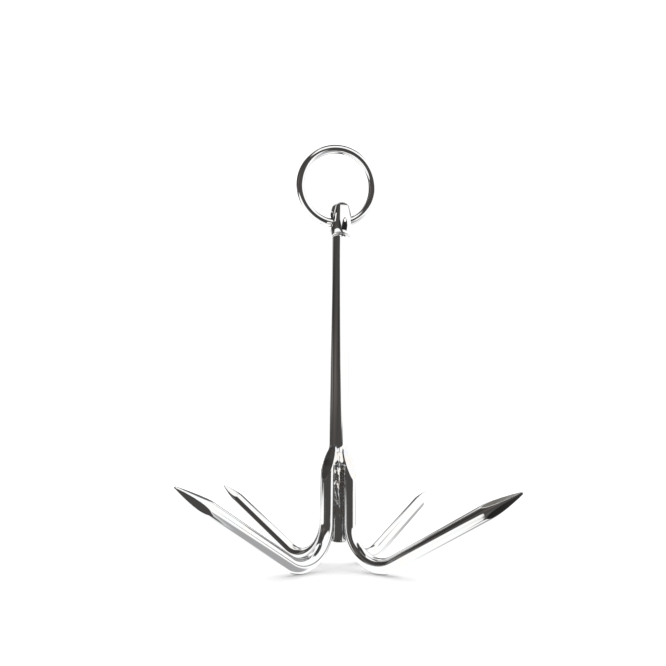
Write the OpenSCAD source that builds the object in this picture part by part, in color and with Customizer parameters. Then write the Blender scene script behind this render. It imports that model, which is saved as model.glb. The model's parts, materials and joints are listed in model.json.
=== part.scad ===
// Fixed four-arm grapnel anchor in polished stainless steel.
// It stands on its four elbows, with the shank upright along Z and the arms along X and Y.

/* [Shank] */
// Diameter of the shank rod
shank_d = 16; // [14:0.5:18]
// Height of the shank's lower end above the elbows
shank_foot = 18; // [14:1:22]
// Height of the shank's upper end, where the eye head is welded on
shank_top = 276; // [230:1:320]

/* [Arms] */
// Diameter of the arm rod
arm_d = 10.5; // [9:0.5:11]
// How deep each leg lies in its groove in the shank
leg_nest = 1.25; // [0.5:0.25:2]
// Radius of the elbow, to the middle of the rod
bend_r = 27; // [22:1:34]
// Rise of the straight arm above level
arm_rise = 27.5; // [15:0.5:45]
// Length of the straight part, from the elbow to the point
arm_len = 105; // [80:1:140]
// Height of the outer end of the sloping leg top
leg_top_low = 63; // [56:1:70]
// Height of the inner end of the sloping leg top, at the shank's surface
leg_top_high = 86; // [80:1:100]

/* [Points] */
// Length of the tapered point
point_len = 27; // [21:3:39]
// Radius of the blunted tip
tip_r = 0.8; // [0.5:0.1:1.5]

/* [Eye head] */
// Largest diameter of the eye head
head_d = 21.2; // [20:0.2:24]
// Height of the eye head
head_h = 35; // [32:1:40]
// Height of the hole's axis above the underside of the head
hole_up = 16; // [15:0.5:18]
// Diameter of the cross hole for the ring
hole_d = 12.5; // [12.5:0.1:13]
// Direction of the hole's axis, measured from the arm along X
hole_turn = 52; // [0:1:90]

/* [Ring] */
// Diameter of the ring's wire
wire_d = 8; // [6:0.5:8]
// Inside diameter of the ring
ring_id = 60; // [56:1:80]
// Lean of the ring from upright, about the hole's axis
ring_lean = 20; // [-120:1:120]
// Sideways tilt of the ring in the slack of its hole
ring_tilt = 11; // [0:1:11]

/* [Welds] */
// Thickness of the weld between shank and head
head_weld_h = 1; // [0.6:0.1:1.5]
// Radius of the rounded seam bead between two legs
seam_r = 4.5; // [4:0.1:5]
// Lower end of the seam beads
seam_low = 33; // [30:1:40]
// Upper end of the seam beads
seam_high = 76; // [60:1:80]
// Length of wire taken up by the ring's closing weld, in degrees of the ring
ring_weld_arc = 8; // [4:1:12]

/* [Hidden] */
$fn = 96;

quarter = 90;
shank_r = shank_d / 2;
arm_r = arm_d / 2;
// Distance from the shank's axis to a leg's axis
leg_x = shank_r + arm_r - leg_nest;
// The elbow's lowest surface is at height 0
bend_z = bend_r + arm_r;
// Fall of the sloping leg top for each millimetre outwards
top_fall = (leg_top_high - leg_top_low) / (leg_x + arm_r - shank_r);
top_slope = atan(top_fall);
// The uncut leg reaches this far above the slope's highest point on it
leg_spare = 1;
leg_top_max = leg_top_high + top_fall * leg_nest + leg_spare;
// The elbow turns from straight down to the arm's rise
bend_turn = quarter + arm_rise;
rod_len = arm_len - point_len;
// The straight rod starts inside the elbow, thinner by a step too small to see
rod_overlap = 0.5;
rod_step = 0.02;
rod_r = arm_r - rod_step;
// The point is an ogive in three cones, from the rod down to the blunted tip
point_cones = 3;
ogive_power = 1.45;
// Side of the cutting block that slopes the leg tops
cutter = 120;

head_z = shank_top + head_weld_h;
hole_z = head_z + hole_up;
head_r = head_d / 2;
// Radius of the arc that the head's barrel side follows below and above the hole's height
barrel_low_r = 71;
barrel_top_r = 110;
// Radius of the head's domed top
dome_r = 30;
// Radius of the rounded shoulder between side and top, and how far its sphere would rise past the top
shoulder_r = 13.2;
shoulder_rise = 0.5;
// Steps of those large circles
arc_steps = 360;
// The hole's mouths open out in a cone, this far from the hole's middle and this deep
mouth_at = 7;
mouth_len = 4.5;
mouth_grow = 3;

ring_r = (ring_id + wire_d) / 2;
// The wire rests on the hole's lower wall, this far outside the hole's axis
wire_drop = 1.2;
// Place of the closing weld round the ring, from the ring's right side
ring_weld_at = 64;
ring_weld_proud = 0.15;
// The weld under the head stands proud of the shank
head_weld_proud = 0.4;

// Distance of the seam beads from the shank's axis
seam_x = 6.5;
seam_end = 5;
seam_end_r = 2.2;
// The toe welds wrap the inner half of each leg top
toe_r = 6.4;
toe_low = 66;
toe_reach = 11;
toe_cover = 1.2;
// The root weld closes the space between the shank's end and the elbows
root_low = 16.4;
root_high = 27;
root_low_r = 9.4;
root_high_r = 8.6;
root_dome_r = 6;

// Turns a child from the arm along X to arm or seam number i
module at_quarter(i) {
  rotate([0, 0, quarter * i]) children();
}

// Everything below the sloping plane of a leg top, raised by the given height
module below_slope(raise) {
  translate([shank_r, 0, leg_top_high + raise])
    rotate([0, top_slope, 0])
      translate([-cutter / 2, -cutter / 2, -cutter])
        cube([cutter, cutter, cutter]);
}

// The upright leg that lies along the shank, with its sloping top
module leg() {
  intersection() {
    translate([leg_x, 0, bend_z]) cylinder(r = arm_r, h = leg_top_max - bend_z);
    below_slope(0);
  }
}

// The rod's bend from the leg to the rising arm
module elbow() {
  translate([leg_x + bend_r, 0, bend_z])
    rotate([quarter, 0, 0])
      rotate([0, 0, 2 * quarter])
        rotate_extrude(angle = bend_turn)
          translate([bend_r, 0]) circle(r = arm_r);
}

// Radius of the point at a share t of its length, on an ogive curve
function ogive(t) = rod_r - (rod_r - tip_r) * pow(t, ogive_power);

// The straight rod with its ground point
module straight() {
  translate([0, 0, -rod_overlap]) cylinder(r = rod_r, h = rod_len + rod_overlap);
  for (k = [0 : point_cones - 1])
    translate([0, 0, rod_len + point_len * k / point_cones])
      cylinder(r1 = ogive(k / point_cones), r2 = ogive((k + 1) / point_cones),
               h = point_len / point_cones);
}

// One arm, pointing along X: leg, elbow and straight rod
module arm() {
  union() {
    leg();
    elbow();
    translate([leg_x + bend_r, 0, bend_z])
      rotate([0, -arm_rise, 0])
        translate([0, 0, -bend_r])
          rotate([0, quarter, 0]) straight();
  }
}

module numbered_arm(i) {
  color("silver") at_quarter(i) arm();
}

// The straight shank, with four grooves in which the legs and the tops of the elbows lie
module shank() {
  color("gainsboro") difference() {
    translate([0, 0, shank_foot]) cylinder(r = shank_r, h = shank_top - shank_foot);
    for (i = [0 : 3]) at_quarter(i) {
      leg();
      elbow();
    }
  }
}

// Half outline of the head between two heights, under one arc of the barrel side
module barrel_side(r, low, high) {
  intersection() {
    translate([head_r - r, hole_up]) circle(r = r, $fn = arc_steps);
    translate([0, low]) square([head_r, high - low]);
  }
}

// Half outline of the head: a barrel side, a rounded shoulder and a domed top
module head_outline() {
  barrel_side(barrel_low_r, 0, hole_up);
  intersection() {
    barrel_side(barrel_top_r, hole_up, head_h);
    translate([0, head_h - dome_r]) circle(r = dome_r, $fn = arc_steps);
    translate([0, head_h + shoulder_rise - shoulder_r]) circle(r = shoulder_r, $fn = arc_steps);
  }
}

// Cross hole with opened-out mouths, along X
module cross_hole() {
  rotate([0, quarter, 0]) cylinder(d = hole_d, h = 2 * head_d, center = true);
  for (side = [0, 1])
    rotate([0, quarter + 2 * quarter * side, 0])
      translate([0, 0, mouth_at])
        cylinder(d1 = hole_d, d2 = hole_d + 2 * mouth_grow, h = mouth_len);
}

// The domed head on top of the shank, with the hole for the ring
module eye_head() {
  color("silver") difference() {
    translate([0, 0, head_z]) rotate_extrude() head_outline();
    at_hole() cross_hole();
  }
}

// The hole's own frame: X along the hole, origin at its middle
module at_hole() {
  translate([0, 0, hole_z]) rotate([0, 0, hole_turn]) children();
}

// The ring's own frame: its centre, with the ring in the XY plane
module at_ring() {
  at_hole()
    rotate([ring_lean, 0, 0])
      translate([-ring_r * sin(ring_tilt), 0, ring_r * cos(ring_tilt) - wire_drop])
        rotate([quarter, 0, 0]) children();
}

// The round ring, open only where its closing weld lies
module ring() {
  color("lightgray") at_ring()
    rotate([0, 0, ring_weld_at + ring_weld_arc / 2])
      rotate_extrude(angle = 4 * quarter - ring_weld_arc)
        translate([ring_r, 0]) circle(d = wire_d);
}

// The polished butt weld that closes the ring
module ring_weld() {
  color("gainsboro") at_ring()
    rotate([0, 0, ring_weld_at - ring_weld_arc / 2])
      rotate_extrude(angle = ring_weld_arc)
        translate([ring_r, 0]) circle(d = wire_d + 2 * ring_weld_proud);
}

// The weld between the shank's end and the head
module head_weld() {
  color("gray") translate([0, 0, shank_top]) cylinder(r = shank_r + head_weld_proud, h = head_weld_h);
}

// Rod space that no weld bead fills: the shank and all four arms' legs and elbows
module rods() {
  translate([0, 0, shank_foot]) cylinder(r = shank_r, h = shank_top - shank_foot);
  for (i = [0 : 3]) at_quarter(i) {
    leg();
    elbow();
  }
}

// The seam bead that fills the valley between two neighbouring legs
module seam_weld(i) {
  color("darkgray") difference() {
    rotate([0, 0, quarter * i + quarter / 2]) translate([seam_x, 0, seam_low]) {
      cylinder(r1 = seam_end_r, r2 = seam_r, h = seam_end);
      translate([0, 0, seam_end])
        cylinder(r = seam_r, h = seam_high - seam_low - 2 * seam_end);
      translate([0, 0, seam_high - seam_low - seam_end])
        cylinder(r1 = seam_r, r2 = seam_end_r, h = seam_end);
    }
    rods();
  }
}

// The weld at the head of one leg, ground to the leg's slope
module toe_weld(i) {
  color("darkgray") at_quarter(i) difference() {
    intersection() {
      translate([leg_x - leg_nest, 0, toe_low])
        cylinder(r = toe_r, h = leg_top_max + toe_cover - toe_low);
      below_slope(toe_cover);
      translate([0, -toe_r, 0]) cube([toe_reach, 2 * toe_r, cutter]);
    }
    translate([0, 0, shank_foot]) cylinder(r = shank_r, h = shank_top - shank_foot);
    leg();
    for (side = [-1, 1])
      rotate([0, 0, side * quarter / 2])
        translate([seam_x, 0, seam_low]) cylinder(r = seam_r, h = seam_high - seam_low);
  }
}

// The weld under the shank's end, between the four elbows
module root_weld() {
  color("darkgray") difference() {
    union() {
      translate([0, 0, root_low])
        cylinder(r1 = root_dome_r, r2 = root_low_r, h = shank_foot - root_low);
      translate([0, 0, shank_foot])
        cylinder(r1 = root_low_r, r2 = root_high_r, h = root_high - shank_foot);
    }
    rods();
  }
}

shank();
numbered_arm(0);  // arm_right
numbered_arm(1);  // arm_back
numbered_arm(2);  // arm_left
numbered_arm(3);  // arm_front
eye_head();
ring();
ring_weld();
head_weld();
root_weld();
seam_weld(0);  // seam_weld_1
seam_weld(1);  // seam_weld_2
seam_weld(2);  // seam_weld_3
seam_weld(3);  // seam_weld_4
toe_weld(0);  // toe_weld_1
toe_weld(1);  // toe_weld_2
toe_weld(2);  // toe_weld_3
toe_weld(3);  // toe_weld_4
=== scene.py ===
"""Looks of the grapnel anchor: polished stainless rods, ground points and weld beads, on a pale floor."""
import json
import math

import bpy
import numpy as np
from mathutils import Matrix, Vector


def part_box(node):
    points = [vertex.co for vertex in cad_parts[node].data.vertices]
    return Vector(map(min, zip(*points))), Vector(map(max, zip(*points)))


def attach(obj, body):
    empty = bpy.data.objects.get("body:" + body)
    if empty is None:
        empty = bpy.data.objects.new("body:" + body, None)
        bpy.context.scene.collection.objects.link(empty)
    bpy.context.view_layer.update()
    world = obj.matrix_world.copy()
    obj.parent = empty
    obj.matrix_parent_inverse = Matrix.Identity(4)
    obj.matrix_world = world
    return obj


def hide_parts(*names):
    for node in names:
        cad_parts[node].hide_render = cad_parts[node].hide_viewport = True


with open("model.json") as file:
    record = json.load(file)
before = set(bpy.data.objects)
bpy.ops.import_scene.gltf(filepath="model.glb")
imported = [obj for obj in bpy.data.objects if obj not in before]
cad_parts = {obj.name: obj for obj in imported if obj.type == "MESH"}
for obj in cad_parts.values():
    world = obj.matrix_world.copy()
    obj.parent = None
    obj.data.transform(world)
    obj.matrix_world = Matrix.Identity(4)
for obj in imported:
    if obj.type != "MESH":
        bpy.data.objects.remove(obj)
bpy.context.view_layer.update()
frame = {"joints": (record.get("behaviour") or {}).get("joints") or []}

MM = 0.001
QUARTER = math.pi / 2
ARMS = ["arm_right", "arm_back", "arm_left", "arm_front"]

# ---------------------------------------------------------------- sizes, in millimetres

def node_box(node):
    """Lowest and highest corner of a CAD node, in millimetres."""
    low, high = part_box(node)
    return np.array(low) / MM, np.array(high) / MM


shank_low, shank_high = node_box("shank")
arm_low, arm_high = node_box("arm_right")
head_low, head_high = node_box("eye_head")
SHANK_R = round(shank_high[0], 3)
SHANK_FOOT = round(shank_low[2], 3)
SHANK_TOP = round(shank_high[2], 3)
ARM_R = round(arm_high[1], 3)
LEG_X = round(arm_low[0], 3) + ARM_R
HEAD_FOOT = round(head_low[2], 3)
HEAD_H = round(head_high[2], 3) - HEAD_FOOT
HEAD_R = round(head_high[0], 3)
# The bend and the point repeat the CAD's driving dimensions
BEND_R = 27.0
BEND_Z = BEND_R + ARM_R
ARM_RISE = math.radians(27.5)
ARM_LEN = 105.0
POINT_LEN = 27.0
TIP_R = 0.8
OGIVE_POWER = 1.45
# How far each arm's four ground flats are turned about the arm
FLAT_TURN = [0, 0, 0, QUARTER / 5]
LEG_TOP_LOW = 63.0
LEG_TOP_HIGH = 86.0
TOP_FALL = (LEG_TOP_HIGH - LEG_TOP_LOW) / (LEG_X + ARM_R - SHANK_R)
# The eye head's outline
BARREL_LOW_R = 71.0
BARREL_TOP_R = 110.0
DOME_R = 30.0
SHOULDER_R = 13.2
SHOULDER_RISE = 0.5
# The hole and the ring, from the joint
joint = frame["joints"][0]
HOLE = np.array(joint["pos_m"]) / MM
HOLE_AXIS = np.array(joint["axis"])
HOLE_R = 6.25
HOLE_UP = HOLE[2] - HEAD_FOOT
MOUTH_AT = 7.0
MOUTH_FLARE = 3.0 / 4.5
RING_R = 34.0
WIRE_R = 4.0
RING_LEAN = math.radians(20)
RING_TILT = math.radians(11)
WIRE_DROP = 1.2
# The ring's butt weld: where it is, its arc, its lap over the wire, its dip at the ends and its swelling
RING_WELD_AT = math.radians(64)
RING_WELD_ARC = math.radians(8)
RING_WELD_LAP = 0.03
RING_WELD_DIP = 0.004
RING_WELD_SWELL = 0.034
# Small edges and fillets
SHANK_EDGE = 0.6
LEG_TOP_EDGE = 0.45
LEG_TOP_FILLET = 0.7
HEAD_FILLET = 1.6
HEAD_FOOT_FILLET = 0.8
MOUTH_FILLET = 1.2
TIP_SET_BACK = TIP_R * 0.6
# The ground collar round the shank at the top of the crown
COLLAR_RISE = 0.3
COLLAR_R = 11.7
COLLAR_FOOT = 74.0
# The seam welds: their ends, the bead's middle, where it grows and by how much, and how far the metal reaches
SEAM_LOW = 27.0
SEAM_HIGH = 84.0
SEAM_X = 6.5
BEAD_GROWS_FROM = 40
BEAD_GROWS_TO = 60
BEAD_R = 1.3
BEAD_GROWTH = 1.8
BEAD_OUT = 0.6
BEAD_DEPTH = 0.8
SEAM_REACH = 5.0
SEAM_BACK = 3.4
# How far each hand-laid bead sits off the middle of its seam
BEAD_SHIFT = [0.4, -0.5, 0.3, -1.3]
# The toe welds
TOE_LOW = 60.0
TOE_HIGH = 89.5
TOE_RAISE = 0.14
TOE_REACH = 5.8
TOE_SPREAD = 2.5
# The root weld: its ball and its ends
ROOT_BALL_Z = 24.5
ROOT_BALL_R = 7.6
ROOT_LOW = 14.5
ROOT_HIGH = 31
ROOT_R = 11.5
# The collar of weld under the head
HEAD_WELD_SINK = 0.3
HEAD_WELD_H = 1.6
HEAD_WELD_SWELL = 0.45
HEAD_WELD_RIPPLE = 0.012
# Seeds of the weld lumps; each seam and toe adds its number
SEAM_SEED = 11
TOE_SEED = 31
ROOT_SEED = 51
# How finely the pieces are divided
SHANK_SIDES = 128
SHANK_RINGS = 60
ARM_SIDES = 96
TOP_HUB = 0.06
TOP_RINGS = 14
TOP_EDGE_RINGS = 6
LEG_RINGS = 20
BEND_RINGS = 73
STRAIGHT_RINGS = 31
POINT_RINGS = 73
TIP_RINGS = 7
WIRE_SIDES = 48
RING_STEPS = 257
RING_END_STEP = 0.003
RING_WELD_STEPS = 41
HEAD_WELD_SIDES = 192
HEAD_WELD_RINGS = 13
GRID = 0.3
FAR = 1e9


# ---------------------------------------------------------------- mesh helpers

def add_mesh(name, points, faces, smooth=True):
    """A new mesh object from points in millimetres."""
    mesh = bpy.data.meshes.new(name)
    mesh.from_pydata((np.asarray(points, float) * MM).tolist(), [], [list(map(int, f)) for f in faces])
    mesh.validate()
    mesh.update()
    if smooth:
        mesh.shade_smooth()
    piece = bpy.data.objects.new(name, mesh)
    bpy.context.scene.collection.objects.link(piece)
    return piece


def skin(rows):
    """Quads over rows of points, each row a closed loop, with a fan of triangles over each end."""
    count = len(rows[0])
    points = [p for row in rows for p in row]
    last = (len(rows) - 1) * count
    faces = []
    for a in range(0, last, count):
        b = a + count
        for c in range(count):
            d = (c + 1) % count
            faces.append((a + c, a + d, b + d, b + c))
    for start, flip in ((0, True), (last, False)):
        pole = len(points)
        points.append(np.mean(points[start:start + count], axis=0))
        for c in range(count):
            d = (c + 1) % count
            faces.append((start + d, start + c, pole) if flip else (start + c, start + d, pole))
    return points, faces


def full_turn(sides):
    """Evenly spaced angles, once round."""
    return np.linspace(0, 2 * math.pi, sides, endpoint=False)


def turned(points, angle):
    """Points turned about Z."""
    c, s = math.cos(angle), math.sin(angle)
    p = np.asarray(points, float)
    return np.stack([p[..., 0] * c - p[..., 1] * s, p[..., 0] * s + p[..., 1] * c, p[..., 2]], -1)


# ---------------------------------------------------------------- signed distances, in millimetres

def smooth_min(a, b, k):
    """Smooth union of two distances, with a fillet about k wide."""
    h = np.clip(0.5 + 0.5 * (b - a) / k, 0, 1)
    return b * (1 - h) + a * h - k * h * (1 - h)


def smooth_max(a, b, k):
    """Smooth cut of one distance by another."""
    return -smooth_min(-a, -b, k)


def smooth_step(x, low, high):
    """Rises from 0 at low to 1 at high."""
    t = np.clip((x - low) / (high - low), 0, 1)
    return t * t * (3 - 2 * t)


def net(field, low, high, step=GRID, relax=2):
    """Closed mesh where field is zero: one point per grid cell that the surface crosses, moved onto it."""
    axes = [np.arange(a, b + step, step) for a, b in zip(low, high)]
    grid = np.stack(np.meshgrid(*axes, indexing="ij"), -1)
    value = field(grid)
    for axis in range(3):
        for side in (0, -1):
            index = [slice(None)] * 3
            index[axis] = side
            value[tuple(index)] = np.maximum(value[tuple(index)], step * 0.5)
    inside = value < 0
    cells = np.zeros([n - 1 for n in value.shape], int)
    corners = [(i, j, k) for i in (0, 1) for j in (0, 1) for k in (0, 1)]
    n0, n1, n2 = cells.shape
    for i, j, k in corners:
        cells += inside[i:i + n0, j:j + n1, k:k + n2]
    mixed = (cells > 0) & (cells < 8)
    total = np.zeros(mixed.shape + (3,))
    hits = np.zeros(mixed.shape)
    for a in corners:
        for axis in range(3):
            if a[axis]:
                continue
            b = list(a)
            b[axis] = 1
            va = value[a[0]:a[0] + n0, a[1]:a[1] + n1, a[2]:a[2] + n2]
            vb = value[b[0]:b[0] + n0, b[1]:b[1] + n1, b[2]:b[2] + n2]
            cross = (va < 0) != (vb < 0)
            t = np.where(cross, va / np.where(cross, va - vb, 1), 0)
            spot = np.array(a, float) + np.zeros(mixed.shape + (3,))
            spot[..., axis] = t
            total += np.where(cross[..., None], spot, 0)
            hits += cross
    index = -np.ones(mixed.shape, int)
    where = np.argwhere(mixed)
    index[mixed] = np.arange(len(where))
    origin = np.array([axis[0] for axis in axes])
    points = origin + (where + total[mixed] / hits[mixed][:, None]) * step
    faces = []
    for axis in range(3):
        u, v = (axis + 1) % 3, (axis + 2) % 3
        shifted = [slice(None)] * 3
        shifted[axis] = slice(1, None)
        base = [slice(None)] * 3
        base[axis] = slice(None, -1)
        change = inside[tuple(base)] != inside[tuple(shifted)]
        spots = np.argwhere(change)
        spots = spots[(spots[:, u] > 0) & (spots[:, v] > 0)
                      & (spots[:, u] < mixed.shape[u]) & (spots[:, v] < mixed.shape[v])]
        quad = []
        for du, dv in ((-1, -1), (0, -1), (0, 0), (-1, 0)):
            s = spots.copy()
            s[:, u] += du
            s[:, v] += dv
            quad.append(index[s[:, 0], s[:, 1], s[:, 2]])
        quad = np.stack(quad, -1)
        flip = inside[tuple(base)][tuple(spots.T)] == 0
        quad[flip] = quad[flip][:, ::-1]
        faces.append(quad)
    faces = np.concatenate(faces)
    tiny = step * 0.05
    for _ in range(relax):
        here = field(points)
        slope = np.stack([field(points + tiny * e) - here for e in np.eye(3)], -1) / tiny
        length = np.maximum((slope ** 2).sum(-1), 0.2)
        points = points - np.clip(here / length, -step, step)[:, None] * slope
    return points, faces


# ---------------------------------------------------------------- pieces

def make_shank():
    """The shank: a plain round rod with a small edge at its foot."""
    angles = full_turn(SHANK_SIDES)
    profile = [(SHANK_R - SHANK_EDGE, SHANK_FOOT), (SHANK_R, SHANK_FOOT + SHANK_EDGE)]
    profile += [(SHANK_R, z) for z in np.linspace(SHANK_FOOT + 2, SHANK_TOP - 1, SHANK_RINGS)]
    profile += [(SHANK_R, SHANK_TOP)]
    rows = [[(r * math.cos(a), r * math.sin(a), z) for a in angles] for r, z in profile]
    return add_mesh("shank_rod", *skin(rows))


def arm_path():
    """Stations along an arm's middle line below the leg top: place, upper normal, radius and flats."""
    stations = []
    for turn in np.linspace(0, QUARTER + ARM_RISE, BEND_RINGS):
        place = (LEG_X + BEND_R - BEND_R * math.cos(turn), BEND_Z - BEND_R * math.sin(turn))
        stations.append((place, (math.cos(turn), math.sin(turn)), ARM_R, ARM_R))
    along = np.array([math.cos(ARM_RISE), math.sin(ARM_RISE)])
    upper = (-math.sin(ARM_RISE), math.cos(ARM_RISE))
    start = np.array(stations[-1][0])
    straight = ARM_LEN - POINT_LEN
    for s in np.linspace(0, straight, STRAIGHT_RINGS)[1:]:
        stations.append((tuple(start + along * s), upper, ARM_R, ARM_R))
    for t in np.linspace(0, 1, POINT_RINGS)[1:]:
        radius = ARM_R - (ARM_R - TIP_R) * t ** OGIVE_POWER
        flat = ARM_R - (ARM_R - TIP_R) * t
        out = t * (POINT_LEN - TIP_SET_BACK)
        stations.append((tuple(start + along * (straight + out)), upper, radius, flat))
    for turn in np.linspace(0, QUARTER, TIP_RINGS)[1:-1]:
        out = POINT_LEN - TIP_SET_BACK * (1 - math.sin(turn))
        radius = TIP_R * math.cos(turn)
        stations.append((tuple(start + along * (straight + out)), upper, radius, radius))
    return stations


def point_radius(a, radius, flat):
    """Radius of an arm's section in one direction from its nearest flat's middle."""
    off = (a % QUARTER) - QUARTER / 2
    return min(radius, flat / math.cos(off))


def slope_z(x):
    """Height of the sloping leg top at distance x from the shank's axis."""
    return LEG_TOP_HIGH - TOP_FALL * (x - SHANK_R)


def slanted_ring(angles, r, drop=0.0):
    """One ring on the sloping leg top."""
    return [(LEG_X + r * math.cos(a), r * math.sin(a), slope_z(LEG_X + r * math.cos(a)) - drop) for a in angles]


def make_arm(number):
    """One arm: a ground top with a small rounded edge, then the leg, the elbow, the straight and the point."""
    angles = full_turn(ARM_SIDES)
    inner = ARM_R - LEG_TOP_EDGE
    rows = [slanted_ring(angles, inner * share) for share in np.linspace(TOP_HUB, 1, TOP_RINGS)]
    for turn in np.linspace(0, QUARTER, TOP_EDGE_RINGS)[1:]:
        r = ARM_R - LEG_TOP_EDGE * (1 - math.sin(turn))
        drop = LEG_TOP_EDGE * (1 - math.cos(turn)) * math.hypot(1, TOP_FALL)
        rows.append(slanted_ring(angles, r, drop))
    top = rows[-1]
    level = BEND_Z + 4
    for share in np.linspace(0, 1, LEG_RINGS)[1:]:
        rows.append([(x, y, z + (level - z) * share) for x, y, z in top])
    for (x, z), (nx, nz), radius, flat in arm_path():
        section = [(a, point_radius(a + FLAT_TURN[number], radius, flat)) for a in angles]
        rows.append([(x + r * math.cos(a) * nx, r * math.sin(a), z + r * math.cos(a) * nz) for a, r in section])
    points, faces = skin(rows[::-1])
    return add_mesh(ARMS[number] + "_rod", turned(points, QUARTER * number), faces)


def head_distance(p):
    """Signed distance of the eye head: a barrel side, a rounded shoulder, a domed top and a cross hole."""
    r = np.hypot(p[..., 0], p[..., 1])
    h = p[..., 2] - HEAD_FOOT
    bow = np.where(h < HOLE_UP, BARREL_LOW_R, BARREL_TOP_R)
    barrel = np.hypot(r - (HEAD_R - bow), h - HOLE_UP) - bow
    dome = np.hypot(r, h - (HEAD_H - DOME_R)) - DOME_R
    shoulder = np.hypot(r, np.maximum(h - (HEAD_H + SHOULDER_RISE - SHOULDER_R), 0)) - SHOULDER_R
    body = smooth_max(smooth_max(barrel, shoulder, HEAD_FILLET), dome, HEAD_FILLET)
    body = smooth_max(body, -h, HEAD_FOOT_FILLET)
    q = p - HOLE
    along = q @ HOLE_AXIS
    away = np.sqrt(np.maximum((q ** 2).sum(-1) - along ** 2, 0))
    mouth = np.maximum(np.abs(along) - MOUTH_AT, 0) * MOUTH_FLARE
    return smooth_max(body, (HOLE_R + mouth - away) / math.hypot(1, MOUTH_FLARE), MOUTH_FILLET)


def make_head():
    """The turned eye head."""
    low = (-HEAD_R - 1, -HEAD_R - 1, HEAD_FOOT - 1)
    high = (HEAD_R + 1, HEAD_R + 1, HEAD_FOOT + HEAD_H + 1)
    return add_mesh("eye_head_turned", *net(head_distance, low, high))


def ring_frame():
    """The ring's centre and the two directions that span its plane."""
    turn = math.atan2(HOLE_AXIS[1], HOLE_AXIS[0])
    lean = Matrix.Rotation(turn, 3, "Z") @ Matrix.Rotation(RING_LEAN, 3, "X")
    right = np.array(lean @ Vector((1, 0, 0)))
    up = np.array(lean @ Vector((0, 0, 1)))
    centre = HOLE + right * (-RING_R * math.sin(RING_TILT)) + up * (RING_R * math.cos(RING_TILT) - WIRE_DROP)
    return centre, right, up, np.cross(right, up)


def wire_rows(turns, radii):
    """Rings of points round the wire at some angles along it, ordered so that skin's faces point outward."""
    centre, right, up, out = ring_frame()
    rows = []
    for turn, r in zip(turns, radii):
        spoke = right * math.cos(turn) + up * math.sin(turn)
        middle = centre + RING_R * spoke
        rows.append([middle + r * (math.cos(a) * spoke - math.sin(a) * out)
                     for a in full_turn(WIRE_SIDES)])
    return rows


def make_ring():
    """The wire, with a short first and last step so that its cut ends stay hidden in the weld."""
    start = RING_WELD_AT + RING_WELD_ARC / 2
    end = start + 2 * math.pi - RING_WELD_ARC
    turns = [start, *np.linspace(start + RING_END_STEP, end - RING_END_STEP, RING_STEPS), end]
    return add_mesh("ring_wire", *skin(wire_rows(turns, [WIRE_R] * len(turns))))


def make_ring_weld():
    """The butt weld: a faint swelling whose ends dip under the wire."""
    half = RING_WELD_ARC / 2 + RING_WELD_LAP
    turns = np.linspace(RING_WELD_AT - half, RING_WELD_AT + half, RING_WELD_STEPS)
    swell = np.sin(np.linspace(0, math.pi, len(turns))) ** 2
    radii = WIRE_R - RING_WELD_DIP + RING_WELD_SWELL * swell
    return add_mesh("ring_butt_weld", *skin(wire_rows(turns, radii)))


# ---------------------------------------------------------------- welds

def rod_distance(p, number):
    """Distance to one arm's upright leg and elbow, with no top."""
    q = turned(p, -QUARTER * number)
    leg = np.hypot(q[..., 0] - LEG_X, q[..., 1]) - ARM_R
    bend = np.hypot(q[..., 0] - LEG_X - BEND_R, q[..., 2] - BEND_Z) - BEND_R
    return np.where(q[..., 2] > BEND_Z, leg, np.hypot(bend, q[..., 1]) - ARM_R)


def leg_distance(p, number, raised=0.0):
    """Distance to one arm's leg and elbow, cut by the sloping leg top."""
    q = turned(p, -QUARTER * number)
    top = (q[..., 2] - slope_z(q[..., 0])) / math.hypot(1, TOP_FALL) - raised
    return smooth_max(rod_distance(p, number), top, LEG_TOP_FILLET)


def shank_distance(p):
    """Distance to the shank above its foot."""
    return np.maximum(np.hypot(p[..., 0], p[..., 1]) - SHANK_R, SHANK_FOOT - p[..., 2])


def scallops(p, seed, low, high, count, tilt, bulge):
    """Heights of ground facets: shallow tilted domes that meet in creases, on random spots in a box."""
    rng = np.random.default_rng(seed)
    spots = rng.uniform(low, high, (count, 3))
    tilts = rng.uniform(-tilt, tilt, (count, 3))
    rises = rng.uniform(-0.25, 0.25, count)
    best = np.full(p.shape[:-1], -FAR)
    for spot, lean, rise in zip(spots, tilts, rises):
        q = p - spot
        best = np.maximum(best, q @ lean + rise - bulge * (q ** 2).sum(-1))
    return best


def collar_distance(p):
    """The ground cone round the shank at the top of the crown."""
    r = np.hypot(p[..., 0], p[..., 1])
    slope = (p[..., 2] - slope_z(r) - COLLAR_RISE) / math.hypot(1, TOP_FALL)
    return smooth_max(smooth_max(slope, r - COLLAR_R, 0.8), COLLAR_FOOT - p[..., 2], 1.5)


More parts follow.
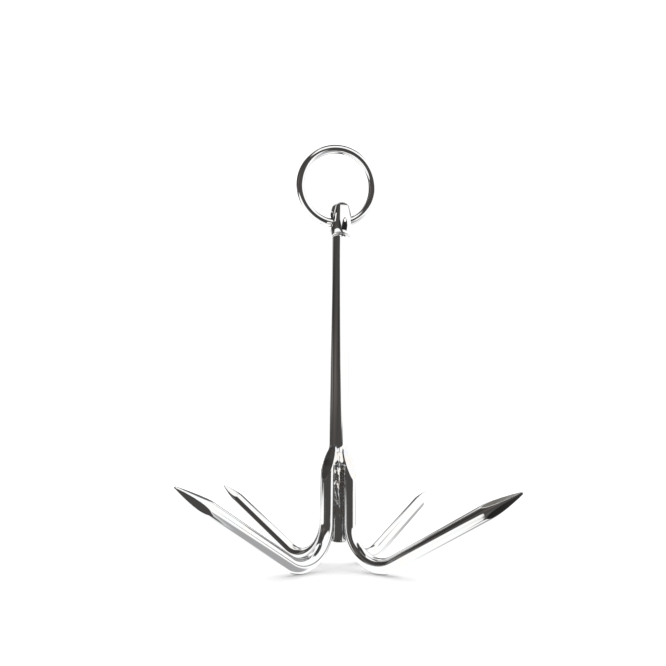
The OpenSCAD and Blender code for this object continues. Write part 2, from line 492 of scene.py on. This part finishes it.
def seam_distance(number):
    """The seam between two legs: a fillet below, a lumpy ground bead above."""
    middle = QUARTER * (number + 0.5)

    def distance(p):
        z = p[..., 2]
        r = np.hypot(p[..., 0], p[..., 1])
        a = rod_distance(p, number)
        b = rod_distance(p, (number + 1) % 4)
        shank = shank_distance(p)
        crown = smooth_min(smooth_min(a, shank, 0.5), smooth_min(b, shank, 0.5), 0.5)
        q = turned(p, -middle)
        grown = smooth_step(z, BEAD_GROWS_FROM, BEAD_GROWS_TO)
        across = q[..., 1] - BEAD_SHIFT[number] * grown
        depth = (q[..., 0] - SEAM_X - BEAD_OUT * grown) * BEAD_DEPTH
        bead = np.hypot(depth, across) - BEAD_R - BEAD_GROWTH * grown
        lumps = scallops(q, SEAM_SEED + number, (6, -5, 44), (12, 5, 92), 70, 0.5, 0.13)
        bead = bead - np.clip(lumps, -1.4, 0.6) * 0.6 * grown
        top = (z - slope_z(r) - COLLAR_RISE) / math.hypot(1, TOP_FALL)
        body = smooth_max(smooth_min(crown, bead, 0.4), top, 0.6)
        # A hair below the rods' surfaces, and fading away at the foot
        body = body + 0.06 + 0.9 * (1 - smooth_step(z, SEAM_LOW, SEAM_LOW + 9))
        ends = np.maximum(SEAM_LOW - z, z - SEAM_HIGH)
        side = np.abs(q[..., 1]) - SEAM_REACH
        return np.maximum.reduce([body, ends, SEAM_REACH - r, side, SEAM_BACK - q[..., 0]])

    return distance


def make_seam(number):
    """One seam weld."""
    middle = turned(np.array([9.0, 0, 0]), QUARTER * (number + 0.5))
    low = (middle[0] - 7, middle[1] - 7, SEAM_LOW - 1)
    high = (middle[0] + 7, middle[1] + 7, SEAM_HIGH + 1)
    return add_mesh(f"seam_weld_{number + 1}_bead", *net(seam_distance(number), low, high))


def toe_distance(number):
    """The ramp on one leg: ground flush with the leg's slope, and a quarter of the cone round the shank."""
    def distance(p):
        q = turned(p, -QUARTER * number)
        leg = leg_distance(p, number, raised=TOE_RAISE)
        body = smooth_min(smooth_min(leg, collar_distance(p), 2.0), shank_distance(p), 1.0)
        lumps = scallops(q, TOE_SEED + number, (5, -9, 60), (18, 9, 94), 40, 0.05, 0.02)
        body = body + 0.05 - 0.08 * np.clip(lumps, -1, 1)
        ends = np.maximum(TOE_LOW - q[..., 2], q[..., 2] - TOE_HIGH)
        r = np.hypot(q[..., 0], q[..., 1])
        side = (np.abs(np.arctan2(q[..., 1], q[..., 0])) - math.radians(45)) * r
        foot = np.abs(q[..., 1]) - TOE_REACH - TOE_SPREAD * smooth_step(q[..., 2], 72, 78)
        return np.maximum.reduce([body, ends, side, foot, SEAM_REACH - r])

    return distance


def make_toe(number):
    """One toe weld."""
    middle = turned(np.array([10.5, 0, 0]), QUARTER * number)
    low = (middle[0] - 9, middle[1] - 9, TOE_LOW - 1)
    high = (middle[0] + 9, middle[1] + 9, TOE_HIGH + 1)
    return add_mesh(f"toe_weld_{number + 1}_ramp", *net(toe_distance(number), low, high))


def root_distance(p):
    """The weld under the shank's end, blended into the four elbows."""
    z = p[..., 2]
    r = np.hypot(p[..., 0], p[..., 1])
    crown = np.hypot(r, z - ROOT_BALL_Z) - ROOT_BALL_R
    for number in range(4):
        crown = smooth_min(crown, rod_distance(p, number), 2.4)
    lumps = scallops(p, ROOT_SEED, (-10, -10, 14), (10, 10, 32), 60, 0.25, 0.12)
    lumps = np.clip(lumps, -1, 0.5) * smooth_step(z, 15, 19)
    body = crown + 0.05 - 0.35 * lumps + 0.8 * smooth_step(z, 25, ROOT_HIGH)
    return np.maximum.reduce([body, np.maximum(ROOT_LOW - z, z - ROOT_HIGH), r - ROOT_R])


def make_root():
    """The root weld."""
    edge = ROOT_R + 1
    low = (-edge, -edge, ROOT_LOW - 1)
    high = (edge, edge, ROOT_HIGH + 1)
    return add_mesh("root_weld_bead", *net(root_distance, low, high))


def make_head_weld():
    """A narrow rippled collar under the head."""
    rows = []
    for share in np.linspace(0, 1, HEAD_WELD_RINGS):
        row = []
        for a in full_turn(HEAD_WELD_SIDES):
            ripple = HEAD_WELD_RIPPLE * math.sin(26 * a + 2.5 * math.sin(3 * a))
            r = SHANK_R - 0.15 + (HEAD_WELD_SWELL + ripple) * math.sin(math.pi * share) ** 0.6
            row.append((r * math.cos(a), r * math.sin(a), SHANK_TOP - HEAD_WELD_SINK + HEAD_WELD_H * share))
        rows.append(row)
    return add_mesh("head_weld_collar", *skin(rows))


# ---------------------------------------------------------------- materials

# Roughness of the smoothest and the dullest polish, and depths of small marks in metres
POLISH = (0.03, 0.075)
LINE_DEPTH = 0.000002
PIT_DEPTH = 0.00003
MARK_DEPTH = 0.000012


class Nodes:
    """Short calls for building a material's node tree."""

    def __init__(self, name):
        self.material = bpy.data.materials.new(name)
        self.material.use_nodes = True
        self.tree = self.material.node_tree
        self.shader = self.tree.nodes["Principled BSDF"]

    def add(self, kind, inputs=None, **settings):
        node = self.tree.nodes.new(kind)
        for key, value in settings.items():
            setattr(node, key, value)
        for key, value in (inputs or {}).items():
            self.feed(node.inputs[key], value)
        return node

    def feed(self, socket, value):
        if isinstance(value, bpy.types.NodeSocket):
            self.tree.links.new(value, socket)
        else:
            socket.default_value = value

    def noise(self, vector, scale, detail=3.0, roughness=0.5):
        node = self.add("ShaderNodeTexNoise", {"Vector": vector, "Scale": scale, "Detail": detail,
                                               "Roughness": roughness})
        return node.outputs["Fac"]

    def stretched(self, source, scale):
        return self.add("ShaderNodeMapping", {"Vector": source, "Scale": scale}).outputs["Vector"]

    def spread(self, value, from_low, from_high, to_low, to_high):
        node = self.add("ShaderNodeMapRange", {"Value": value, "From Min": from_low, "From Max": from_high,
                                               "To Min": to_low, "To Max": to_high})
        return node.outputs["Result"]

    def math(self, operation, a, b):
        return self.add("ShaderNodeMath", {0: a, 1: b}, operation=operation).outputs[0]

    def ramp(self, value, stops):
        node = self.add("ShaderNodeValToRGB", {"Fac": value})
        elements = node.color_ramp.elements
        while len(elements) < len(stops):
            elements.new(0.5)
        for element, (at, color) in zip(elements, stops):
            element.position = at
            element.color = (*color, 1)
        return node.outputs["Color"]

    def bump(self, height, distance, normal=None):
        inputs = {"Height": height, "Distance": distance, "Strength": 1.0}
        if normal is not None:
            inputs["Normal"] = normal
        return self.add("ShaderNodeBump", inputs).outputs["Normal"]


def steel(name, tone=0.76, wobble=0.06):
    """Polished stainless steel: cloudy polish, fine lines along the piece, a faint wobble in its shine."""
    n = Nodes(name)
    place_3d = n.add("ShaderNodeTexCoord").outputs["Object"]
    along = n.add("ShaderNodeUVMap", uv_map="rod").outputs["UV"]
    clouds = n.noise(place_3d, 90.0, 4.0, 0.6)
    fine_lines = n.noise(n.stretched(along, (900.0, 12.0, 1.0)), 1.0, 2.0, 0.6)
    smears = n.noise(n.stretched(along, (40.0, 60.0, 1.0)), 1.0, 3.0, 0.55)
    warm = (tone, tone * 0.985, tone * 0.965)
    cool = (tone * 0.97, tone * 0.985, tone)
    n.feed(n.shader.inputs["Base Color"], n.ramp(clouds, [(0.3, warm), (0.7, cool)]))
    n.shader.inputs["Metallic"].default_value = 1.0
    polish = n.math("MULTIPLY", n.spread(clouds, 0.35, 0.7, 0.0, 1.0), n.spread(smears, 0.35, 0.65, 0.4, 1.0))
    n.feed(n.shader.inputs["Roughness"], n.spread(polish, 0.0, 1.0, *POLISH))
    slow = n.noise(n.stretched(along, (3.0, 26.0, 1.0)), 1.0, 2.0, 0.5)
    normal = n.bump(slow, wobble * MM)
    normal = n.bump(fine_lines, LINE_DEPTH, normal)
    n.feed(n.shader.inputs["Normal"], normal)
    return n.material


def weld_steel(name):
    """Ground weld metal: short grinding marks, faint heat colour and small pits."""
    n = Nodes(name)
    place_3d = n.add("ShaderNodeTexCoord").outputs["Object"]
    blotches = n.noise(place_3d, 220.0, 4.0, 0.6)
    tint = n.ramp(blotches, [(0.3, (0.70, 0.66, 0.60)), (0.5, (0.74, 0.73, 0.72)), (0.7, (0.66, 0.69, 0.74))])
    n.feed(n.shader.inputs["Base Color"], tint)
    n.shader.inputs["Metallic"].default_value = 1.0
    marks = n.noise(n.stretched(place_3d, (1800.0, 1800.0, 260.0)), 1.0, 2.0, 0.6)
    n.feed(n.shader.inputs["Roughness"], n.spread(blotches, 0.3, 0.7, 0.06, 0.2))
    pits = n.noise(place_3d, 900.0, 2.0, 0.5)
    normal = n.bump(n.spread(pits, 0.7, 0.8, 0.0, 1.0), -PIT_DEPTH)
    normal = n.bump(marks, MARK_DEPTH, normal)
    n.feed(n.shader.inputs["Normal"], normal)
    return n.material


# ---------------------------------------------------------------- maps and placing

def map_rod(piece, around, along):
    """The UV map "rod": metres around and along a piece, for marks that follow it. One value per point."""
    layer = piece.data.uv_layers.new(name="rod")
    loops = np.zeros(len(piece.data.loops), int)
    piece.data.loops.foreach_get("vertex_index", loops)
    pair = np.stack([np.asarray(around)[loops], np.asarray(along)[loops]], -1) * MM
    layer.data.foreach_set("uv", pair.astype(np.float32).ravel())


def map_by_axis(piece, radius):
    """The same map for a piece that is round about Z."""
    co = np.array([v.co for v in piece.data.vertices]) / MM
    map_rod(piece, np.abs(np.arctan2(co[:, 1], co[:, 0])) * radius, co[:, 2])
    return piece


def map_ring(piece):
    """The same map for the ring's wire."""
    centre, right, up, out = ring_frame()
    co = np.array([v.co for v in piece.data.vertices]) / MM - centre
    turn = np.arctan2(co @ up, co @ right)
    spoke = np.cos(turn)[:, None] * right + np.sin(turn)[:, None] * up
    across = co - RING_R * spoke
    around = np.abs(np.arctan2(across @ out, (across * spoke).sum(-1)))
    map_rod(piece, around * WIRE_R, np.abs(turn) * RING_R)
    return piece


def map_arm(piece, number):
    """The same map for an arm: along its middle line."""
    co = turned(np.array([v.co for v in piece.data.vertices]) / MM, -QUARTER * number)
    turn = np.arctan2(BEND_Z - co[:, 2], LEG_X + BEND_R - co[:, 0])
    turn = np.clip(turn, 0, QUARTER + ARM_RISE)
    leg = co[:, 2] > BEND_Z
    turn = np.where(leg & (co[:, 0] < LEG_X + BEND_R), 0, turn)
    reach = (co[:, 0] - LEG_X - BEND_R) * math.cos(ARM_RISE) + (co[:, 2] - BEND_Z) * math.sin(ARM_RISE)
    straight = (turn >= QUARTER + ARM_RISE - 1e-4) | (reach > 0.01)
    along = np.where(straight, BEND_R * (QUARTER + ARM_RISE) + np.maximum(reach, 0), BEND_R * turn)
    along = np.where(leg & (co[:, 0] < LEG_X + ARM_R + 0.1), BEND_Z - co[:, 2], along)
    map_rod(piece, np.abs(np.arcsin(np.clip(co[:, 1] / ARM_R, -1, 1))) * ARM_R, along)
    return piece


def place(piece, body, slot, material, *nodes):
    """Hand a piece over: its body, its material and the CAD nodes it replaces; slot is not used."""
    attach(piece, body)
    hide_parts(*nodes)
    piece.data.materials.clear()
    piece.data.materials.append(material)


# ---------------------------------------------------------------- camera

VIEW_AZIMUTH = math.radians(40.836)
VIEW_ELEVATION = math.radians(-17.428)
VIEW_ROLL = math.radians(0.923)
# How far the camera stands from its aim, and the aim's height and offset, in millimetres
VIEW_DISTANCE = 415.52
AIM_HEIGHT = 184.48
AIM_SIDE = -5.86
SENSOR = 36
LENS = 25.966


def make_camera():
    """A close camera, low down and pitched up, with the photographed proportions of near and far arms."""
    level = math.cos(VIEW_ELEVATION)
    back = Vector((math.sin(VIEW_AZIMUTH) * level, -math.cos(VIEW_AZIMUTH) * level, math.sin(VIEW_ELEVATION)))
    level_right = Vector((math.cos(VIEW_AZIMUTH), math.sin(VIEW_AZIMUTH), 0))
    upright = back.cross(level_right)
    right = level_right * math.cos(VIEW_ROLL) + upright * math.sin(VIEW_ROLL)
    up = upright * math.cos(VIEW_ROLL) - level_right * math.sin(VIEW_ROLL)
    spot = Vector((0, 0, AIM_HEIGHT)) + level_right * AIM_SIDE + back * VIEW_DISTANCE
    data = bpy.data.cameras.new("camera")
    data.sensor_width = SENSOR
    data.lens = LENS
    data.clip_start = 0.01
    camera = bpy.data.objects.new("camera", data)
    camera.matrix_world = Matrix.Translation(spot * MM) @ Matrix((right, up, back)).transposed().to_4x4()
    bpy.context.scene.collection.objects.link(camera)
    bpy.context.scene.camera = camera


# ---------------------------------------------------------------- floor and light

TENT_CENTRE = np.array([0, 0, 150.0])
TENT_RADIUS = 2000
TENT_SIDES = 241
TENT_LEVELS = 121
TENT_WHITE = 1.35
WORLD_LIGHT = 1.35
FLOOR_REACH = 3000
FLOOR_SHADE = (0.96, 0.96, 0.96, 1)
# Shade, softness of the border in degrees, and outline in degrees right of the camera and above level
TENT_ZONES = [
    # Grey low on the right
    ((0.5, 0.5, 0.51), 4, [(66, -30), (90, -20), (135, -62), (150, -80), (66, -80)]),
    # A light grey band on the right
    ((0.57, 0.57, 0.58), 3, [(98, -4), (104, -9), (125, -21), (152, -24), (152, -14), (125, -12), (108, -3)]),
    # Grey at the back left
    ((0.42, 0.41, 0.40), 4, [(-180, 16), (-150, 27), (-132, 33), (-132, 39), (-155, 37), (-180, 28)]),
    # The dark room in front, round the camera, and over to the left
    ((0.085, 0.08, 0.077), 1.3,
     [(-70, 58), (-12, 58), (-13, 30), (8, 15.5), (28, 6), (50, 4), (52, -6), (40, -12), (36, -31), (60, -33),
      (64, -50), (66, -72), (-18, -78), (-25, -68), (-32, -60), (-40, -50), (-46, -35), (-51, -22), (-57, -12),
      (-66, -5), (-80, -3), (-124, -5), (-128, 8), (-126, 28), (-130, 36), (-126, 42), (-100, 50)]),
    # A lighter streak in its left end
    ((0.33, 0.32, 0.31), 2.5,
     [(-130, 34), (-118, 31), (-104, 23), (-92, 14), (-86, 8), (-92, 6), (-104, 12), (-118, 21), (-132, 28)]),
    # Dark overhead, and its strip above the front right
    ((0.06, 0.06, 0.06), 3, [(-60, 60), (100, 60), (100, 90), (-60, 90)]),
    ((0.07, 0.07, 0.07), 2.5, [(-16, 49), (80, 49), (80, 62), (-16, 62)]),
    # Light grey behind the object, with a dark strip in it
    ((0.6, 0.6, 0.6), 5, [(148, -4), (212, -4), (212, 18), (148, 18)]),
    ((0.14, 0.14, 0.14), 3, [(172, -50), (188, -50), (188, 50), (172, 50)]),
]
# Softer patches: place, size and shade
TENT_SPOTS = [
    ((-52, 12), (14, 7), (0.17, 0.15, 0.14)),
    ((-98, 24), (22, 8), (0.035, 0.033, 0.033)),
    ((-16, 24), (5, 16), (0.02, 0.02, 0.02)),
    ((-30, 10), (12, 3), (0.13, 0.12, 0.11)),
    ((10, -22), (16, 9), (0.045, 0.047, 0.05)),
    ((-30, -34), (14, 10), (0.13, 0.13, 0.135)),
    ((18, -64), (16, 9), (0.012, 0.012, 0.012)),
    ((-142, 53), (13, 9), (0.2, 0.19, 0.17)),
    ((-60, 40), (12, 7), (0.03, 0.03, 0.03)),
]
# Small flags and reflectors near the eye head: where they stand, shade and outline
NEAR_CARDS = [
    ("flag_right", (4.0, 9.8, 287), 15, (0.02, 0.02, 0.02),
     [(-8, -20), (70, -20), (74, 10), (62, 36), (44, 46), (24, 46), (4, 30), (-6, 5)]),
    ("flag_left", (-9.0, 4.0, 293), 12, (0.05, 0.05, 0.05), [(-165, -20), (-100, -20), (-100, 48), (-165, 48)]),
    ("glint_right", (4.0, 9.8, 287), 8.5, (1.3, 1.3, 1.3),
     [(10, 40), (20, 28), (44, 26), (58, 38), (54, 50), (38, 56), (20, 52)]),
    ("glint_left", (-4.9, 9.4, 293), 14, (1.3, 1.3, 1.3),
     [(-74, 6), (-56, 8), (-44, 48), (-58, 50), (-72, 36)]),
    ("glint_low", (-2.6, 9.0, 280), 10, (1.3, 1.3, 1.3),
     [(-100, -8), (18, -8), (-16, 14), (-46, 20), (-84, 14)]),
]


def make_floor():
    """A plain pale floor that reflections don't see."""
    far = FLOOR_REACH
    floor = add_mesh("floor", [(-far, -far, 0), (far, -far, 0), (far, far, 0), (-far, far, 0)],
                     [(0, 1, 2, 3)], smooth=False)
    material = bpy.data.materials.new("floor")
    material.use_nodes = True
    shader = material.node_tree.nodes["Principled BSDF"]
    shader.inputs["Base Color"].default_value = FLOOR_SHADE
    shader.inputs["Roughness"].default_value = 0.8
    shader.inputs["Specular IOR Level"].default_value = 0.1
    floor.data.materials.append(material)
    floor.visible_glossy = False


def studio_direction(side, height):
    """The direction at an angle to the right of the camera and an angle above level, in degrees."""
    side, height = math.radians(side), math.radians(height)
    toward = np.array([math.sin(VIEW_AZIMUTH), -math.cos(VIEW_AZIMUTH), 0])
    right = np.array([math.cos(VIEW_AZIMUTH), math.sin(VIEW_AZIMUTH), 0])
    level = math.cos(side) * toward + math.sin(side) * right
    return math.cos(height) * level + np.array([0, 0, math.sin(height)])


def outline_distance(side, height, outline):
    """Distance in degrees to an outline on the map of directions, negative inside."""
    near = np.full(side.shape, FAR)
    inside = np.zeros(side.shape, bool)
    for (ax, ay), (bx, by) in zip(outline, outline[1:] + outline[:1]):
        dx, dy = bx - ax, by - ay
        t = np.clip(((side - ax) * dx + (height - ay) * dy) / (dx * dx + dy * dy), 0, 1)
        near = np.minimum(near, np.hypot(side - ax - t * dx, height - ay - t * dy))
        crosses = (ay > height) != (by > height)
        inside ^= crosses & (side < ax + (height - ay) * dx / (dy if dy else 1e-9))
    return np.where(inside, -near, near)


def glow_material(name):
    """Light from the colours painted on a mesh's points."""
    material = bpy.data.materials.new(name)
    material.use_nodes = True
    tree = material.node_tree
    tree.nodes.clear()
    shade = tree.nodes.new("ShaderNodeVertexColor")
    shade.layer_name = "shade"
    glow = tree.nodes.new("ShaderNodeEmission")
    tree.links.new(shade.outputs["Color"], glow.inputs["Color"])
    end = tree.nodes.new("ShaderNodeOutputMaterial")
    tree.links.new(glow.outputs[0], end.inputs["Surface"])
    return material


def only_reflected(card):
    """Keep a card from everything but reflections, and out of the model."""
    card.visible_camera = False
    card.visible_diffuse = False
    card.visible_shadow = False
    card.visible_transmission = False


def paint(piece, shades):
    """Give each point of a card its own glow."""
    layer = piece.data.color_attributes.new("shade", "FLOAT_COLOR", "POINT")
    rgba = np.concatenate([shades, np.ones((len(shades), 1))], 1)
    layer.data.foreach_set("color", rgba.astype(np.float32).ravel())
    piece.data.materials.append(glow_material(piece.name))


def tent_shades(side, height):
    """The tent's colour in each direction: white, with its zones and softer patches."""
    shades = np.ones((*side.shape, 3)) * TENT_WHITE
    for shade, soft, outline in TENT_ZONES:
        away = outline_distance(side, height, outline)
        away = np.minimum(away, outline_distance(side + 360, height, outline))
        cover = (1 - smooth_step(away, -soft, soft))[..., None]
        shades = shades * (1 - cover) + np.array(shade) * cover
    for (at_side, at_height), (wide, tall), patch in TENT_SPOTS:
        blob = np.exp(-((side - at_side) / wide) ** 2 - ((height - at_height) / tall) ** 2)[..., None]
        shades = shades * (1 - blob) + np.array(patch) * blob
    return shades


def make_tent():
    """A round studio tent that only reflections see: white, with the dark room and the grey zones in it."""
    sides = np.linspace(-180, 180, TENT_SIDES)
    levels = np.linspace(-90, 90, TENT_LEVELS)
    side, height = np.meshgrid(sides, levels, indexing="ij")
    points = [TENT_CENTRE + TENT_RADIUS * studio_direction(a, h) for a in sides for h in levels]
    faces = []
    for i in range(TENT_SIDES - 1):
        for j in range(TENT_LEVELS - 1):
            a = i * TENT_LEVELS + j
            faces.append((a, a + TENT_LEVELS, a + TENT_LEVELS + 1, a + 1))
    tent = add_mesh("studio_tent", points, faces)
    paint(tent, tent_shades(side, height).reshape(-1, 3))
    only_reflected(tent)


def make_near_card(name, stand, distance, shade, outline):
    """A card close to the head that only reflections see; angles as seen from a place on the head."""
    side, front, height = stand
    centre = side * studio_direction(90, 0) + front * studio_direction(0, 0) + np.array([0, 0, height])
    points = [centre + distance * studio_direction(a, h) for a, h in outline]
    card = add_mesh(name, points, [range(len(points))], smooth=False)
    paint(card, np.array([shade] * len(points)))
    only_reflected(card)


def light_world():
    """Even white light from all round, and no filmic curve."""
    world = bpy.data.worlds.new("studio")
    bpy.context.scene.world = world
    world.use_nodes = True
    background = world.node_tree.nodes["Background"]
    background.inputs["Color"].default_value = (1, 1, 1, 1)
    background.inputs["Strength"].default_value = WORLD_LIGHT
    bpy.context.scene.view_settings.view_transform = "Standard"


# ---------------------------------------------------------------- build

rod_steel = steel("polished_rod")
arm_steel = steel("polished_arm", tone=0.75, wobble=0.08)
head_steel = steel("polished_head", wobble=0.03)
ring_steel = steel("polished_wire", tone=0.77, wobble=0.02)
bead_steel = weld_steel("ground_weld")
place(map_by_axis(make_shank(), SHANK_R), "anchor", "shank_steel", rod_steel, "shank")
for number in range(4):
    place(map_arm(make_arm(number), number), "anchor", "arm_steel", arm_steel, ARMS[number])
place(map_by_axis(make_head(), HEAD_R), "anchor", "head_steel", head_steel, "eye_head")
place(map_ring(make_ring()), "swinging_ring", "ring_steel", ring_steel, "ring")
place(map_ring(make_ring_weld()), "swinging_ring", "ring_steel", ring_steel, "ring_weld")
for number in range(4):
    place(make_seam(number), "anchor", "weld_steel", bead_steel, f"seam_weld_{number + 1}")
    place(make_toe(number), "anchor", "weld_steel", bead_steel, f"toe_weld_{number + 1}")
place(make_root(), "anchor", "weld_steel", bead_steel, "root_weld")
place(make_head_weld(), "anchor", "weld_steel", bead_steel, "head_weld")
make_camera()
make_floor()
make_tent()
for near_card in NEAR_CARDS:
    make_near_card(*near_card)
light_world()
